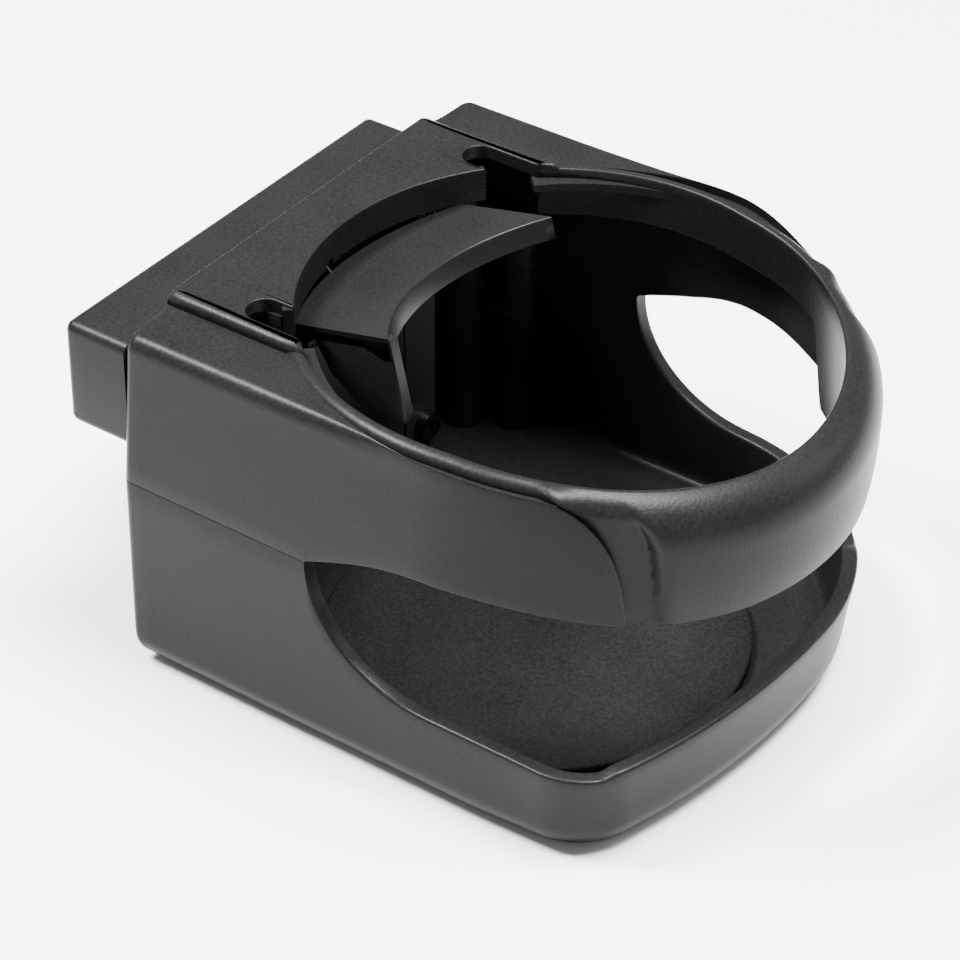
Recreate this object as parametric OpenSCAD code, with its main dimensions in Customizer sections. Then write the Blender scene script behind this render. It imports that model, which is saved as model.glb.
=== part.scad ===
// Cup holder that clips to the edge of a desk.
// +X to the right, the cup ring faces -Y, the desk lies at +Y, Z up from the base.
// The cup's axis is the Z axis.

/* [Body] */
// Width across the side walls
body_w = 83; // [78:0.5:100]
// Height of the deck panel above the base
body_h = 56.7; // [52:0.1:70]
// Distance from the cup's axis to the rear wall's outer face
rear_y = 49.2; // [47:0.1:60]
// Thickness of the moulded walls
wall = 2.4; // [1.8:0.1:3]
// Thickness of the tray's floor
floor_t = 3.0; // [2:0.1:4]
// Radius of the rear corners, seen from above
rear_corner_r = 1.6; // [1:0.1:6]
// Radius of the tray's front left corner, seen from above
front_corner_r = 11; // [8:0.5:16]
// Radius of the tray's front right corner, which nearly follows the cup
front_round_r = 37; // [30:0.5:38]
// Distance from the cup's axis to the tray's front face
tray_front = 37.5; // [36:0.1:44]
// Radius along the bottom edge
bottom_r = 5; // [2:0.1:8]
// Height of the line where the tray meets the upper shell
parting_z = 32; // [28:0.1:36]

/* [Opening] */
// Radius of the opening's front half
cup_r = 35.5; // [33:0.1:38]
// Radius of the opening's rear half
cup_rear_r = 36.2; // [34:0.1:38]
// How far the rear half's centre lies behind the cup's axis
cup_rear_y = 4.5; // [2:0.1:8]
// Width of the thin raised lip
lip_w = 2.2; // [1.6:0.1:3]
// Depth of the lip below its own edge
lip_depth = 8; // [5:0.5:12]
// How far the lip's edge dips from the deck to the front
lip_dip = 5.2; // [2:0.1:8]
// Outer radius of the bulging front band
band_r = 40.5; // [39:0.1:44]
// Angle from the front at which the band meets the side tongues
band_half_angle = 40; // [30:1:50]

/* [Side windows] */
// Height of the tray's rim
tray_rim_z = 14.5; // [10:0.1:20]
// Distance of the window's rear tip behind the cup's axis
window_tip_y = 17; // [12:0.5:22]
// Length of the curve from the low rim up to the tip
window_run = 20; // [14:0.5:24]
// Height of the upper shell's underside at the sides
window_top_z = 37; // [34:0.1:40]
// Height of the band's underside at the front
band_low_z = 32.5; // [30:0.1:36]

/* [Deck] */
// Width of the raised deck panel
deck_w = 60.2; // [54:0.1:64]
// Thickness of the deck panel
deck_t = 2.2; // [1.6:0.1:3]
// Clearance between the flap's plate and the skirt along the deck's front edge
skirt_gap = 0.7; // [0.5:0.1:1.5]
// How far the shoulder lies below the deck's top at the rear
shoulder_drop = 1.5; // [0.7:0.1:3]
// Rise of the shoulder per millimetre towards the front
shoulder_rise = 0.01; // [0:0.01:0.04]
// Radius along the shoulder's outer edge
shoulder_r = 2.6; // [1.5:0.1:4]
// Distance of each slot's centre line from the middle
slot_x = 25.3; // [23:0.1:27]
// Width of each slot
slot_w = 5.4; // [4:0.1:6]
// Distance of the centre of each slot's round end behind the cup's axis
slot_end_y = 35.8; // [34:0.1:38]

/* [Retainer flap] */
// Distance of the hinge behind the cup's axis
hinge_y = 37.7; // [36:0.1:40]
// Distance of the hinge's centre below the deck's top
hinge_drop = 10.6; // [9:0.1:12]
// Radius of the hinge pin
pin_r = 1.25; // [0.8:0.05:1.5]
// Radial running clearance on the hinge pin
pin_clearance = 0.05; // [0.02:0.01:0.1]
// How far the flap's plate tilts up towards the front at rest
flap_tilt = 13.3; // [8:0.1:18]
// Width of the crescent
flap_w = 38.6; // [34:0.2:40]
// Thickness of the crescent plate
flap_t = 2.0; // [1.6:0.1:2.4]
// Height of the lip along the crescent's front
flap_lip_h = 3.6; // [2.5:0.1:5]
// Depth of the cheek below the plate's left end
cheek_h = 14; // [8:0.5:16]
// Distance from the hinge to the front of the crescent's middle
flap_reach = 13.1; // [11:0.1:14]
// Radius of the crescent's front edge
flap_arc_r = 30; // [28:0.5:36]

/* [Desk clamp] */
// Reach of the clamp block from the middle to the left
block_left = 38.7; // [34:0.1:40]
// Reach of the clamp block from the middle to the right
block_right = 30; // [29:0.1:40]
// Depth of the clamp block behind the rear wall
block_d = 10.4; // [8:0.1:14]
// Height of the clamp block's underside
block_low_z = 36; // [34:0.1:40]
// How far the clamp block's top lies below the deck's top
block_drop = 3.9; // [3:0.1:8]
// Thickness of the clamp block's walls
block_wall = 2.2; // [1.8:0.1:3]
// Width of the jaws
jaw_w = 26; // [20:0.5:30]
// Reach of the jaws behind the rear wall
jaw_reach = 19.6; // [14:0.2:22]
// Thickness of the upper jaw's tongue
tongue_t = 3.6; // [3:0.1:5]
// Thickness of the lower jaw's arm
arm_t = 4.5; // [4:0.1:6]
// Depth of the ribs under the arm
arm_rib_h = 3; // [1:0.1:4]
// Thickness of the jaws' rubber pads
jaw_pad_t = 1.4; // [1:0.1:2]
// Gap between the rubber pads with the jaw closed
closed_gap = 8; // [6:0.5:12]
// Travel of the lower jaw
jaw_travel = 17; // [12:0.5:17]
// Thickness of the rubber strips on the rear wall
edge_pad_t = 1.0; // [0.8:0.1:1.5]
// Width of the rubber strips
edge_pad_w = 12; // [8:0.5:16]
// Height of the rubber strips
edge_pad_h = 22; // [16:0.5:24]

/* [Channel and springs] */
// Depth of the channel that guides the jaw's carriage
channel_d = 4.2; // [3.6:0.1:4.6]
// Thickness of the channel's walls
channel_t = 1.4; // [1:0.1:2]
// Clearance round the jaw's carriage
carriage_gap = 0.35; // [0.3:0.05:0.6]
// Width of the carriage's side fingers
finger_w = 2.2; // [1.6:0.1:3]
// Height of the carriage's side fingers
finger_h = 17; // [12:0.5:18]
// Distance of each extension spring from the middle
spring_x = 5.6; // [5:0.1:7]
// Mean radius of the extension springs
spring_r = 1.5; // [1.2:0.05:1.6]
// Radius of the spring wire
wire_r = 0.3; // [0.25:0.01:0.4]
// Radius of the pegs and anchors that hold the springs
peg_r = 0.9; // [0.7:0.05:1]

/* [Pad and screws] */
// Radius of the non-slip pad
pad_r = 31; // [26:0.5:33]
// Distance of the pad's centre to the left of the cup's axis
pad_left = 6; // [0:0.5:7]
// Distance of the pad's centre behind the cup's axis
pad_back = 3; // [0:0.5:6]
// Thickness of the non-slip pad
pad_t = 1.5; // [1:0.1:2.5]
// Radius of the screws' shanks
screw_r = 1.2; // [1:0.05:1.5]
// Radius of the screws' heads
screw_head_r = 2.3; // [2:0.05:2.8]
// Height of the screws' heads
screw_head_h = 1.6; // [1.2:0.1:2]
// Clearance between separate pieces
gap = 0.15; // [0.1:0.01:0.3]

/* [Hidden] */

$fn = 64;
eps = 0.01;
far = 100;

// Body
body_half = body_w / 2;
deck_half = deck_w / 2;
rear_inner_y = rear_y - wall;
shoulder_z = body_h - shoulder_drop;
front_bow_r = 110;
front_bow_y = front_bow_r - tray_front;
bow_left_x = -body_half / 2;
bow_right_x = front_bow_r * (body_half - front_round_r) / (front_bow_r - front_round_r);
lip_high_z = body_h - 0.8;
lip_level_y = 26;
deck_front_y = 20;
skirt_t = 1.6;
skirt_notch_below = 2;
boss_r = 3.4;
boss_places = [[body_half - 9.5, rear_inner_y - boss_r + 0.6],
               [body_half - wall - boss_r + 0.5, rear_y - 12]];
boss_top_z = parting_z + 8;
boss_cap_t = 0.6;
shell_screw_l = 18;
screw_seat_z = boss_top_z - shell_screw_l - 1;

// Brackets under the bosses
bracket_z = parting_z - 6;
bracket_t = 1.6;
bracket_rear_h = 18;
bracket_front_h = 10;
bracket_slope = 4.2;

// Front band: its height, and its section as shares of that height and distances in from its widest radius
band_h = lip_high_z - lip_dip + 2.8 - band_low_z;
band_points = [[1.2, 0], [0.4, 0.1], [0, 0.29], [0, 0.48], [0.5, 0.64], [1.6, 0.79], [3.2, 0.9]];

// Centre of a front corner of radius r that meets the side wall and the bow without a kink
function corner_y(r) = front_bow_y - sqrt(pow(front_bow_r - r, 2) - pow(body_half - r, 2));

// Heights along the body, from the rear (+Y) to the front (-Y)
function lip_z(y) =
    lip_high_z - lip_dip * pow(max(0, (lip_level_y - y) / (lip_level_y + cup_r)), 3);
function shoulder_at(y) =
    min(shoulder_z + shoulder_rise * (rear_y - y), lip_z(y) + 0.3);
function window_low_z(y) =
    let (t = (y - (window_tip_y - window_run)) / window_run)
    t <= 0 ? tray_rim_z
           : parting_z - (parting_z - tray_rim_z) * sqrt(max(0, 1 - t * t));
// The underside rises from the window's tip, then sinks to the band's lower edge
function window_high_z(y) =
    let (t = min(1, max(0, (window_tip_y - y) / window_run)),
         s = min(1, max(0, (-6 - y) / (band_r - 6))))
    parting_z + (window_top_z - parting_z) * sin(90 * t)
    - (window_top_z - band_low_z) * (1 - cos(180 * s)) / 2;

// Hinge
hinge_z = body_h - hinge_drop;
lug_r = pin_r + 1.55;

// Jaw and channel
pad_low_z = block_low_z - jaw_pad_t;
jaw_top_z = pad_low_z - closed_gap - jaw_pad_t;
jaw_low_z = jaw_top_z - arm_t;
channel_front_y = rear_inner_y - channel_d - channel_t;
channel_half = jaw_w / 2 + carriage_gap;
jaw_stop_gap = 0.4;
channel_low_z = jaw_low_z - jaw_travel - jaw_stop_gap;
channel_top_z = hinge_z - lug_r - 2 * gap;
flange_w = 6;
flange_t = 1.6;
flange_y = rear_inner_y - channel_d;
flange_gap = 0.05;
flange_x = channel_half + channel_t + flange_w / 2;
channel_screw_z = [channel_low_z + 7.7, channel_top_z - 3];
channel_screw_l = 4;
channel_boss_r = 2.4;
slot_half = 7;
anchor_z = channel_top_z - channel_t - peg_r - 2 * wire_r - 0.5;
peg_z = jaw_low_z + 8;
spring_y = rear_inner_y - channel_d / 2;
web_t = 1.0;
arm_corner_r = 3;
jaw_rib_x = [-9, 0, 9];
jaw_rib_w = 2;
jaw_pad_inset = 1;
jaw_pad_y = rear_y + 1.9;

// Clamp block
block_top_z = body_h - block_drop;
block_edge_r = 1.2;
block_screw_x = [6.7 - block_left, -24.5, 24.5];
block_screw_z = boss_top_z + screw_head_r + 0.4;
block_screw_l = 8;
block_boss_r = 2.6;
block_rib_x = [-8, 0, 8];
block_rib_w = 1.8;
block_pad_inset = 3;
edge_pad_x = 20;
edge_pad_z = 7;

// Screws from the upper shell's shelves into the deck
cover_boss_x = 25;
cover_shelf_y = hinge_y + lug_r + 2 * gap;
cover_boss_y = (cover_shelf_y + rear_inner_y) / 2;
cover_boss_r = 2.6;
cover_shelf_t = 2;
cover_shelf_z = body_h - 9.9;
cover_shelf_side = 3;
cover_screw_l = 7;

// Flap
flap_half = flap_w / 2;
flap_lip_t = 2;
flap_edge_gap = 0.7;
coil_r = pin_r + 0.55 + wire_r;
plate_top = coil_r + wire_r + 0.3 + flap_t;
skirt_depth = hinge_drop - plate_top - skirt_gap;
ear_x = 14.5;
ear_w = 4;
lug_w = 3;
lug_x = flap_half + 0.8 + lug_w / 2;
barrel_r = pin_r + 1.15;
cheek_t = 2;
cheek_foot = 6;
cheek_rear_y = -8;
cheek_rear_h = 7;
ear_front_y = -9;
notch_y = -1.5;
spring_half = 5;
spring_leg = 7;
groove_w = 0.7;
groove_x = lug_x + lug_w / 2 + 0.25;
groove_depth = 0.3;
pin_half = groove_x + groove_w + 0.9;
clip_r = pin_r + 0.85;
clip_mouth = 1.6;

// Screws
slot_drive_w = 0.6;
slot_drive_l = 2.6;
slot_drive_d = 0.8;

// Mirrored copies on both sides, without scaling
module both_sides() {
    children();
    mirror([1, 0, 0]) children();
}

// Side profile drawn in Y and Z, carried right across the body
module across(width = 2 * far) {
    translate([-width / 2, 0, 0]) rotate([90, 0, 90]) linear_extrude(width) children();
}

module front_bow(inset) {
    intersection() {
        translate([0, front_bow_y]) circle(front_bow_r - inset, $fn = 120);
        translate([bow_left_x, -tray_front - 1]) square([bow_right_x - bow_left_x, tray_front]);
    }
}

module rear_corners(inset) {
    r = max(rear_corner_r - inset, 1);
    both_sides() translate([body_half - inset - r, rear_y - inset - r]) circle(r, $fn = 24);
}

// Plan of the tray, drawn inset by a named distance
module tray_outline(inset = 0) {
    hull() {
        rear_corners(inset);
        translate([front_corner_r - body_half, corner_y(front_corner_r)])
            circle(front_corner_r - inset, $fn = 32);
        translate([body_half - front_round_r, corner_y(front_round_r)])
            circle(front_round_r - inset, $fn = 64);
        front_bow(inset);
    }
}

// Plan of the upper shell: square at the rear, round the cup at the front
module upper_outline(inset = 0) {
    hull() {
        rear_corners(inset);
        translate([inset - body_half, 4]) square([body_w - 2 * inset, 20]);
        circle(band_r - inset, $fn = 96);
    }
}

module opening_outline() {
    circle(cup_r, $fn = 96);
    translate([-cup_rear_r, 0]) square([2 * cup_rear_r, cup_rear_y]);
    translate([0, cup_rear_y]) circle(cup_rear_r, $fn = 96);
}

// Solid with a rounded bottom edge, from z = 0 up to height h
module rounded_bottom(h) {
    hull() {
        for (a = [0:30:60])
            translate([0, 0, bottom_r * (1 - cos(a))])
                linear_extrude(eps) tray_outline(bottom_r * (1 - sin(a)));
        translate([0, 0, bottom_r]) linear_extrude(h - bottom_r) tray_outline();
    }
}

module shell_boss_places() {
    both_sides() for (p = boss_places) translate([p[0], p[1], 0]) children();
}

module channel_screw_places(heights = channel_screw_z) {
    both_sides() for (z = heights) translate([flange_x, 0, z]) children();
}

module block_screw_places() {
    for (x = block_screw_x) translate([x, 0, block_screw_z]) children();
}

// Cylinder along Y from y0 to y1
module rod_y(y0, y1, r) {
    translate([0, y0, 0]) rotate([-90, 0, 0]) cylinder(h = y1 - y0, r = r);
}

// Cylinder along X from x0 to x1
module rod_x(x0, x1, r) {
    translate([x0, 0, 0]) rotate([0, 90, 0]) cylinder(h = x1 - x0, r = r);
}

module tray_side_profile() {
    steps = 24;
    polygon(concat(
        [[far, -far], [far, parting_z]],
        [for (i = [0:steps])
            let (y = window_tip_y - window_run * (1 - cos(90 * i / steps))) [y, window_low_z(y)]],
        [[-far, tray_rim_z], [-far, -far]]));
}

// Shelves that tie the screw bosses to the rear corners
module corner_bracket() {
    low_x = boss_places[0][0];
    front_y = boss_places[1][1] - 1;
    both_sides() {
        translate([low_x, front_y, bracket_z - bracket_t])
            cube([body_half - low_x, rear_y - front_y, bracket_t]);
        translate([body_half - wall - bracket_t, 0, 0]) rotate([90, 0, 90]) linear_extrude(wall + bracket_t)
            polygon([[front_y, bracket_z], [rear_y, bracket_z], [rear_y, bracket_z - bracket_rear_h],
                     [front_y + bracket_slope, bracket_z - bracket_front_h]]);
    }
}

module tray_shell() {
    color([0.17, 0.17, 0.18])
    difference() {
        union() {
            intersection() {
                difference() {
                    rounded_bottom(parting_z);
                    translate([0, 0, floor_t]) linear_extrude(far) tray_outline(wall);
                }
                across() tray_side_profile();
            }
            intersection() {
                union() {
                    shell_boss_places() cylinder(h = parting_z, r = boss_r);
                    corner_bracket();
                }
                translate([0, 0, floor_t / 2]) linear_extrude(far) tray_outline(wall / 2);
            }
            channel_screw_places([channel_screw_z[0]]) rod_y(flange_y, rear_y - wall / 2, channel_boss_r);
        }
        shell_boss_places() {
            translate([0, 0, -1]) cylinder(h = screw_seat_z + 1, r = screw_head_r + gap);
            cylinder(h = far, r = screw_r + gap);
        }
        channel_screw_places([channel_screw_z[0]]) rod_y(flange_y - 1, rear_y - wall / 3, screw_r);
        translate([-slot_half, rear_y - wall - 1, channel_low_z])
            cube([2 * slot_half, wall + 2, jaw_top_z + carriage_gap - channel_low_z]);
    }
}

module upper_side_profile() {
    steps = 40;
    polygon(concat(
        [[far, parting_z]],
        [for (i = [0:steps]) let (y = window_tip_y - i * (window_tip_y + band_r + 2) / steps)
            [y, window_high_z(y)]],
        [[-far, band_low_z], [-far, shoulder_at(-band_r)]],
        [for (i = [0:steps]) let (y = -band_r + i * (rear_y + band_r) / steps) [y, shoulder_at(y)]],
        [[far, shoulder_at(rear_y)]]));
}

// Plan of everything that the top cover takes: the deck and the lip
module cover_outline(grow = 0) {
    offset(delta = grow) {
        translate([-deck_half, deck_front_y]) square([deck_w, rear_y - deck_front_y]);
        offset(delta = lip_w) opening_outline();
    }
}

// Wedge round the front of the ring, wider by a named angle
module front_sector(grow = 0) {
    a = band_half_angle + grow;
    linear_extrude(far) polygon([[0, 0], [-far * tan(a), -far], [far * tan(a), -far]]);
}

module upper_body(inset, low, high) {
    translate([0, 0, low]) linear_extrude(high - low) upper_outline(inset);
}

// Upper body with its top edge rounded off in steps
module rounded_top() {
    hull() {
        upper_body(0, parting_z + gap, lip_high_z - shoulder_r);
        upper_body(shoulder_r * 0.3, parting_z + 1, lip_high_z - shoulder_r * 0.3);
        upper_body(shoulder_r, parting_z + 1, lip_high_z + 1);
    }
}

module upper_shell() {
    color([0.17, 0.17, 0.18])
    difference() {
        union() {
            difference() {
                intersection() {
                    rounded_top();
                    across() upper_side_profile();
                }
                upper_body(wall, 0, shoulder_z - wall);
                linear_extrude(far) cover_outline(gap);
                front_sector(0.5);
            }
            // Rear wall below the deck
            intersection() {
                translate([-deck_half - 1, rear_inner_y, parting_z + gap])
                    cube([deck_w + 2, wall, body_h - deck_t - gap - parting_z - gap]);
                linear_extrude(far) upper_outline();
            }
            // Bosses for the screws from the tray
            intersection() {
                shell_boss_places()
                    translate([0, 0, parting_z + gap]) cylinder(h = boss_top_z - parting_z - gap, r = boss_r);
                upper_body(wall / 2, 0, far);
            }
            // Shelves that the top cover is screwed to
            both_sides()
                translate([cover_boss_x - cover_shelf_side, cover_shelf_y, cover_shelf_z])
                    cube([2 * cover_shelf_side + 1, rear_inner_y - cover_shelf_y + wall / 2, cover_shelf_t]);
            channel_screw_places([channel_screw_z[1]]) rod_y(flange_y, rear_y - wall / 2, channel_boss_r);
        }
        shell_boss_places() cylinder(h = boss_top_z - boss_cap_t, r = screw_r);
        both_sides() translate([cover_boss_x, cover_boss_y, 0])
            cylinder(h = cover_shelf_z + cover_shelf_t + 1, r = screw_r + gap);
        channel_screw_places([channel_screw_z[1]]) rod_y(flange_y - 1, rear_y - wall / 3, screw_r);
        block_screw_places() rod_y(rear_inner_y - 1, rear_y + 1, screw_r + gap);
    }
}

// Section of the front band: a soft bulge that rolls over to the lip
module band_section() {
    polygon(concat(
        [[cup_r, band_low_z + 1], [cup_r + 1, band_low_z]],
        [for (p = band_points) [band_r - p[0], band_low_z + p[1] * band_h]],
        [[cup_r + 0.6, band_low_z + band_h], [cup_r, band_low_z + band_h]]));
}

module lip_profile(drop) {
    steps = 40;
    polygon(concat(
        [for (i = [0:steps])
            let (y = -band_r - 1 + i * (lip_level_y + band_r + 1) / steps) [y, lip_z(y) - drop]],
        [[rear_y + 1, lip_high_z - drop], [rear_y + 1, -far], [-far, -far], [-far, lip_z(-band_r) - drop]]));
}

module top_cover() {
    color([0.16, 0.16, 0.17])
    difference() {
        union() {
            // Deck panel
            difference() {
                translate([0, 0, body_h - deck_t]) linear_extrude(deck_t) difference() {
                    translate([-deck_half, deck_front_y]) square([deck_w, rear_y - deck_front_y]);
                    opening_outline();
                }
                both_sides() translate([slot_x, deck_front_y, 0]) {
                    translate([-slot_w / 2, 0, 0]) cube([slot_w, slot_end_y - deck_front_y, far]);
                    translate([0, slot_end_y - deck_front_y, 0]) cylinder(h = far, r = slot_w / 2);
                }
            }
            // Skirt along the deck's front edge
            intersection() {
                translate([0, 0, body_h - skirt_depth]) linear_extrude(skirt_depth - eps) difference() {
                    translate([0, cup_rear_y]) circle(cup_rear_r + skirt_t, $fn = 96);
                    translate([0, cup_rear_y]) circle(cup_rear_r, $fn = 96);
                }
                translate([-(slot_x - slot_w / 2), cup_rear_y, 0]) cube([2 * slot_x - slot_w, far, far]);
            }
            // Lip round the opening, and the band at the front
            difference() {
                intersection() {
                    union() {
                        difference() {
                            intersection() {
                                linear_extrude(far) difference() {
                                    offset(delta = lip_w) opening_outline();
                                    opening_outline();
                                }
                                across() lip_profile(0);
                            }
                            across() lip_profile(lip_depth);
                        }
                        intersection() {
                            rotate_extrude($fn = 96) band_section();
                            front_sector();
                        }
                    }
                    across() lip_profile(0);
                }
                // The lip stops where the slots begin
                translate([-(slot_x + slot_w / 2), lip_level_y, 0])
                    cube([2 * slot_x + slot_w, far, far]);
            }
            // Posts for the cover's screws
            both_sides() translate([cover_boss_x, cover_boss_y, cover_shelf_z + cover_shelf_t + gap])
                cylinder(h = body_h - deck_t / 2 - cover_shelf_z - cover_shelf_t - gap, r = cover_boss_r);
            // Lugs that carry the hinge pin
            both_sides() translate([lug_x - lug_w / 2, hinge_y, hinge_z]) hinge_lug();
        }
        translate([0, hinge_y, hinge_z]) rod_x(-far / 2, far / 2, pin_r + pin_clearance);
        both_sides() translate([cover_boss_x, cover_boss_y, 0])
            cylinder(h = body_h - deck_t, r = screw_r);
        // Notch in the skirt for the spring's fixed leg
        translate([-spring_half - 3 * wire_r, hinge_y, hinge_z])
            cube([6 * wire_r, spring_leg, body_h - deck_t - skirt_notch_below - hinge_z]);
    }
}

module hinge_lug() {
    rod_x(0, lug_w, lug_r);
    translate([0, -lug_r, 0]) cube([lug_w, 2 * lug_r, body_h - deck_t / 2 - hinge_z]);
}

module cup_pad() {
    color([0.2, 0.2, 0.19])
    translate([-pad_left, pad_back, floor_t + eps]) {
        cylinder(h = pad_t - 0.3, r = pad_r);
        cylinder(h = pad_t, r = pad_r - 0.5);
    }
}

// Crescent in the flap's own frame: hinge at the origin, plate level, front towards -Y
module crescent_outline() {
    difference() {
        intersection() {
            translate([-flap_half, -flap_reach - 12]) square([flap_w, flap_reach + 15]);
            translate([0, cup_rear_y - hinge_y]) circle(cup_rear_r - flap_edge_gap, $fn = 96);
        }
        translate([0, -flap_reach - flap_arc_r]) circle(flap_arc_r, $fn = 96);
    }
}

module flap_lip_outline() {
    intersection() {
        crescent_outline();
        translate([0, -flap_reach - flap_arc_r]) circle(flap_arc_r + flap_lip_t, $fn = 96);
    }
}

module retainer_flap() {
    tip_y = -flap_reach - flap_arc_r + sqrt(pow(flap_arc_r, 2) - pow(flap_half, 2));
    low = plate_top - cheek_h;
    color([0.2, 0.2, 0.21])
    translate([0, hinge_y, hinge_z]) rotate([-flap_tilt, 0, 0])
    difference() {
        union() {
            translate([0, 0, plate_top - flap_t]) linear_extrude(flap_t) crescent_outline();
            translate([0, 0, plate_top - flap_lip_h]) linear_extrude(flap_lip_h) flap_lip_outline();
            // Cheek at the left end, cut back below
            intersection() {
                translate([-flap_half, 0, 0]) rotate([90, 0, 90]) linear_extrude(cheek_t)
                    polygon([[tip_y, plate_top - flap_t / 4], [tip_y, low + 2], [tip_y + 2, low],
                             [tip_y + cheek_foot, low], [cheek_rear_y, plate_top - cheek_rear_h],
                             [cheek_rear_y + 2, plate_top - flap_t / 4]]);
                translate([0, 0, -far / 2]) linear_extrude(far) crescent_outline();
            }
            // Ears round the hinge pin
            both_sides() translate([ear_x - ear_w / 2, 0, 0]) {
                rod_x(0, ear_w, barrel_r);
                rotate([90, 0, 90]) linear_extrude(ear_w)
                    polygon([[-barrel_r, 0], [barrel_r, 0], [1, plate_top - flap_t / 2],
                             [ear_front_y, plate_top - flap_t / 2]]);
            }
        }
        rod_x(-far / 2, far / 2, pin_r + pin_clearance);
        // Notch for the spring's fixed leg
        translate([-spring_half - 3 * wire_r, notch_y, 0]) cube([6 * wire_r, far, far]);
    }
}

module hinge_pin() {
    color([0.72, 0.72, 0.74])
    translate([0, hinge_y, hinge_z]) difference() {
        rod_x(-pin_half, pin_half, pin_r);
        both_sides() translate([groove_x, 0, 0]) difference() {
            rod_x(0, groove_w, 2 * pin_r);
            rod_x(-1, groove_w + 1, pin_r - groove_depth);
        }
    }
}

module hinge_clips() {
    color([0.6, 0.6, 0.62])
    translate([0, hinge_y, hinge_z]) both_sides() translate([groove_x + 0.05, 0, 0]) difference() {
        rod_x(0, groove_w - 0.1, clip_r);
        rod_x(-1, groove_w + 1, pin_r - groove_depth + 0.02);
        translate([-1, 0, -clip_mouth / 2]) cube([groove_w + 2, 2 * clip_r, clip_mouth]);
    }
}

// Wire swept along a list of points, as one closed solid with n sides
module swept_wire(points, r, n = 6) {
    count = len(points);
    rings = [for (i = [0:count - 1])
        let (a = points[max(0, i - 1)], b = points[min(count - 1, i + 1)],
             t = (b - a) / norm(b - a),
             u0 = abs(t[0]) < 0.9 ? [1, 0, 0] : [0, 1, 0],
             v = cross(t, u0) / norm(cross(t, u0)), u = cross(v, t))
        [for (k = [0:n - 1]) points[i] + r * (cos(360 * k / n) * u + sin(360 * k / n) * v)]];
    polyhedron(
        points = [for (ring = rings) for (p = ring) p],
        faces = concat(
            [[for (k = [0:n - 1]) k]],
            [for (i = [0:count - 2]) for (k = [0:n - 1])
                [i * n + k, (i + 1) * n + k, (i + 1) * n + (k + 1) % n, i * n + (k + 1) % n]],
            [[for (k = [n - 1:-1:0]) (count - 1) * n + k]]));
}

// Torsion spring: one leg bears up on the deck, the other lifts the flap's plate
module flap_spring() {
    turns = 6;
    steps = 12;
    touch = wire_r + 0.05;
    leg_z = plate_top - flap_t - touch;
    fixed_leg = [[-spring_half, spring_leg, body_h - deck_t - touch - hinge_z]];
    coil = [for (i = [0:turns * steps])
        let (a = 90 + 360 * i / steps)
        [-spring_half + 2 * spring_half * i / (turns * steps), coil_r * cos(a), coil_r * sin(a)]];
    moving_leg = [[spring_half, leg_z * sin(flap_tilt) - spring_leg * cos(flap_tilt),
                   leg_z * cos(flap_tilt) + spring_leg * sin(flap_tilt)]];
    color([0.7, 0.7, 0.72])
    translate([0, hinge_y, hinge_z]) swept_wire(concat(fixed_leg, coil, moving_leg), wire_r);
}

module clamp_block() {
    color([0.17, 0.17, 0.18])
    difference() {
        union() {
            difference() {
                block_outer(0);
                translate([0, -block_wall, 0]) block_outer(block_wall);
            }
            block_screw_places() rod_y(rear_y + gap, rear_y + block_d - block_wall / 2, block_boss_r);
            // Upper jaw: a tongue along the underside
            translate([-jaw_w / 2, rear_y + gap, block_low_z])
                cube([jaw_w, jaw_reach - gap, tongue_t]);
            // Ribs that stiffen the tongue
            for (x = block_rib_x) translate([x - block_rib_w / 2, rear_y + gap, block_low_z])
                cube([block_rib_w, block_d - block_wall / 2, block_top_z - block_low_z - block_wall / 2]);
        }
        block_screw_places() rod_y(rear_y - 1, rear_y + block_d - block_wall - 0.6, screw_r);
    }
}

module block_outer(inset) {
    edge = block_edge_r + inset;
    hull() for (x = [edge - block_left, block_right - edge], z = [block_low_z + edge, block_top_z - edge])
        translate([x, rear_y + gap, z]) rod_y(0, block_d - gap, block_edge_r);
}

module upper_jaw_pad() {
    color([0.12, 0.12, 0.12])
    translate([0, 0, pad_low_z]) {
        translate([block_pad_inset - block_left, rear_y + block_pad_inset / 2, 0])
            cube([block_left + block_right - 2 * block_pad_inset, block_d - block_pad_inset,
                  jaw_pad_t - eps]);
        translate([jaw_pad_inset - jaw_w / 2, rear_y + block_pad_inset / 2, 0])
            cube([jaw_w - 2 * jaw_pad_inset, jaw_reach - block_pad_inset / 2 - jaw_pad_inset,
                  jaw_pad_t - eps]);
    }
}

module edge_pads() {
    color([0.12, 0.12, 0.12])
    both_sides() translate([edge_pad_x, rear_y + eps, edge_pad_z]) cube([edge_pad_w, edge_pad_t, edge_pad_h]);
}

module jaw_channel() {
    color([0.3, 0.3, 0.31])
    difference() {
        union() {
            translate([-channel_half - channel_t, channel_front_y, channel_low_z])
                cube([2 * (channel_half + channel_t), channel_d + channel_t - gap,
                      channel_top_z - channel_low_z]);
            both_sides() translate([channel_half, flange_y - flange_t - flange_gap, channel_low_z])
                cube([channel_t + flange_w, flange_t, channel_top_z - channel_low_z]);
        }
        translate([-channel_half, channel_front_y + channel_t, channel_low_z - 1])
            cube([2 * channel_half, channel_d + 1, channel_top_z - channel_low_z - channel_t + 1]);
        channel_screw_places() rod_y(channel_front_y - 1, rear_y, screw_r + gap);
        both_sides() translate([spring_x, 0, anchor_z]) rod_y(channel_front_y - 1, spring_y, peg_r);
    }
}

module spring_anchors() {
    color([0.6, 0.6, 0.62])
    both_sides() translate([spring_x, 0, anchor_z]) rod_y(channel_front_y, rear_inner_y - 2 * gap, peg_r);
}

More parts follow.
